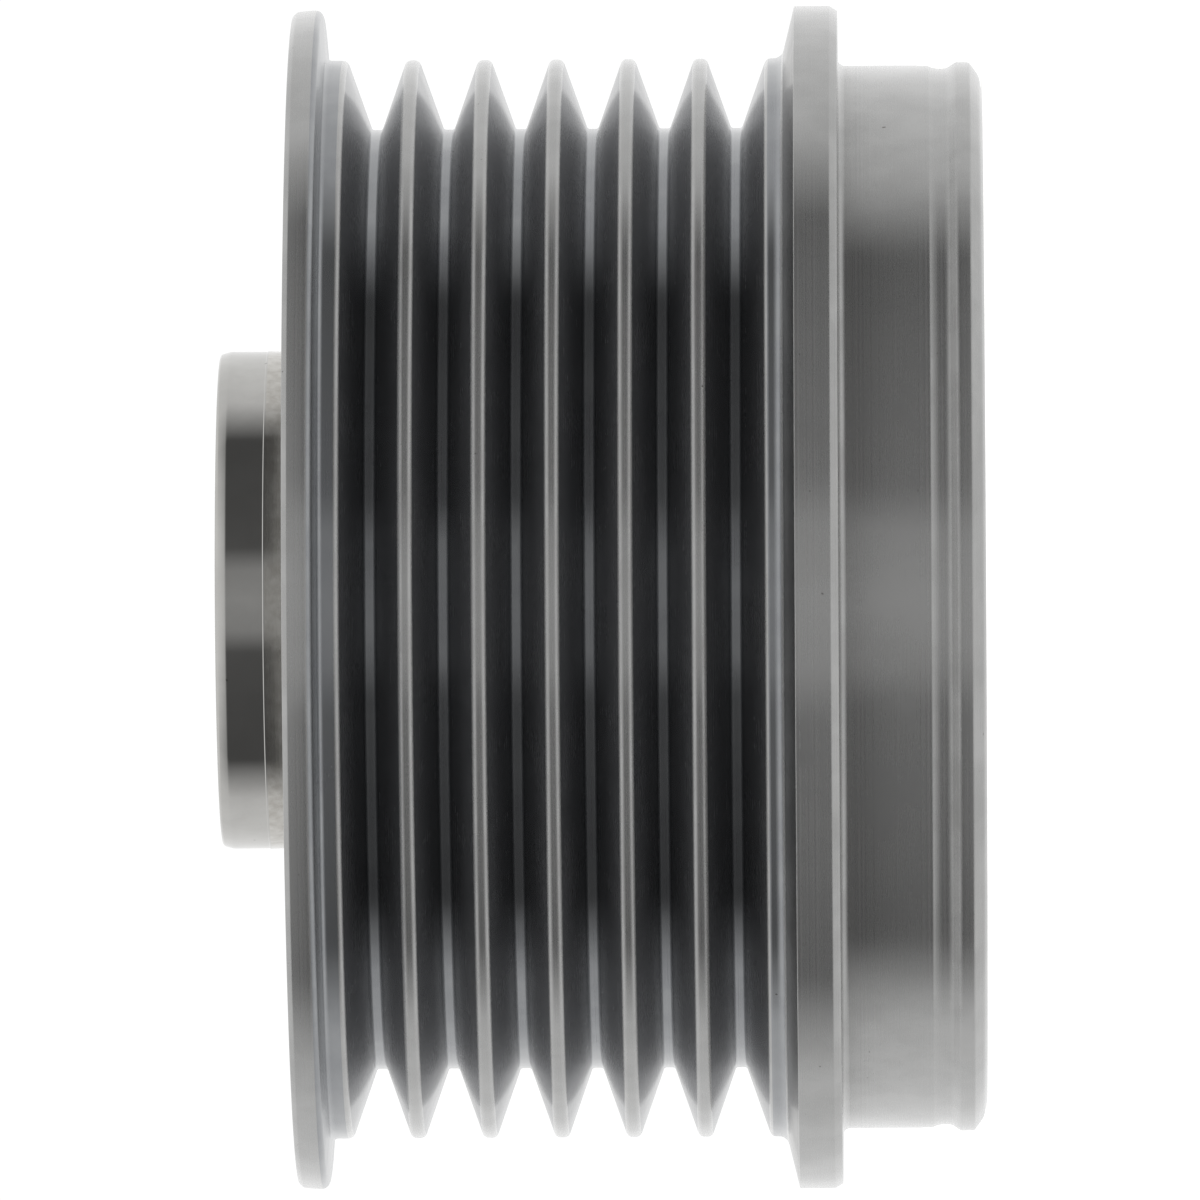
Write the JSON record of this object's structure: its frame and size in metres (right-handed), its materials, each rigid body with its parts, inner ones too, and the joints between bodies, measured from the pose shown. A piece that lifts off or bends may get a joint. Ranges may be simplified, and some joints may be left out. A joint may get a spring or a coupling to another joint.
{
  "type": "overrunning alternator pulley",
  "caption": "Ribbed-belt pulley with flanges, front collar and rear hub nose; the ring turns on ball bearings and a one-way roller clutch round a threaded hub.",
  "frame": {"origin": "centre of the front rim, on the surface it stands on", "axes": "+Z along the pulley axis, from the front rim up to the hub nose; X and Y across it"},
  "size_m": [0.0586, 0.0586, 0.0378],
  "materials": {
    "ring_steel": "fine-turned bare steel",
    "hub_steel": "ground and polished bare steel",
    "bearing_steel": "ground bearing steel",
    "clutch_steel": "hardened and ground steel",
    "spring_steel": "rolled spring steel strip",
    "seal_rubber": "moulded black nitrile rubber",
    "cage_nylon": "moulded glass-filled nylon"
  },
  "bodies": {
    "pulley": {"pulley_ring": "ring_steel", "front_bearing_outer_ring": "bearing_steel", "front_outside_seal": "seal_rubber", "front_inside_seal": "seal_rubber", "rear_bearing_outer_ring": "bearing_steel", "rear_outside_seal": "seal_rubber", "rear_inside_seal": "seal_rubber", "clutch_ramp_sleeve": "clutch_steel", "clutch_cage": "cage_nylon", "clutch_roller_01": "clutch_steel", "clutch_roller_02": "clutch_steel", "clutch_roller_03": "clutch_steel", "clutch_roller_04": "clutch_steel", "clutch_roller_05": "clutch_steel", "clutch_roller_06": "clutch_steel", "clutch_roller_07": "clutch_steel", "clutch_roller_08": "clutch_steel", "clutch_spring_01": "spring_steel", "clutch_spring_02": "spring_steel", "clutch_spring_03": "spring_steel", "clutch_spring_04": "spring_steel", "clutch_spring_05": "spring_steel", "clutch_spring_06": "spring_steel", "clutch_spring_07": "spring_steel", "clutch_spring_08": "spring_steel"},
    "hub": {"hub_shaft": "hub_steel", "front_bearing_inner_ring": "bearing_steel", "rear_bearing_inner_ring": "bearing_steel", "clutch_inner_sleeve": "bearing_steel"},
    "front_balls": {"front_ball_cage": "cage_nylon", "front_ball_01": "bearing_steel", "front_ball_02": "bearing_steel", "front_ball_03": "bearing_steel", "front_ball_04": "bearing_steel", "front_ball_05": "bearing_steel", "front_ball_06": "bearing_steel", "front_ball_07": "bearing_steel", "front_ball_08": "bearing_steel", "front_ball_09": "bearing_steel", "front_ball_10": "bearing_steel", "front_ball_11": "bearing_steel", "front_ball_12": "bearing_steel"},
    "rear_balls": {"rear_ball_cage": "cage_nylon", "rear_ball_01": "bearing_steel", "rear_ball_02": "bearing_steel", "rear_ball_03": "bearing_steel", "rear_ball_04": "bearing_steel", "rear_ball_05": "bearing_steel", "rear_ball_06": "bearing_steel", "rear_ball_07": "bearing_steel", "rear_ball_08": "bearing_steel", "rear_ball_09": "bearing_steel", "rear_ball_10": "bearing_steel", "rear_ball_11": "bearing_steel", "rear_ball_12": "bearing_steel"}
  },
  "joints": [
    {"name": "hub_spin", "type": "hinge", "parent": "pulley", "child": "hub", "pos_m": [0, 0, 0.0195], "axis": [0, 0, 1], "continuous": true},
    {"name": "front_balls_spin", "type": "hinge", "parent": "pulley", "child": "front_balls", "pos_m": [0, 0, 0.0089], "axis": [0, 0, 1], "continuous": true},
    {"name": "rear_balls_spin", "type": "hinge", "parent": "pulley", "child": "rear_balls", "pos_m": [0, 0, 0.03004], "axis": [0, 0, 1], "continuous": true}
  ],
  "couplings": [
    {"joint": "front_balls_spin", "follows": "hub_spin", "ratio": 0.444},
    {"joint": "rear_balls_spin", "follows": "hub_spin", "ratio": 0.444}
  ]
}
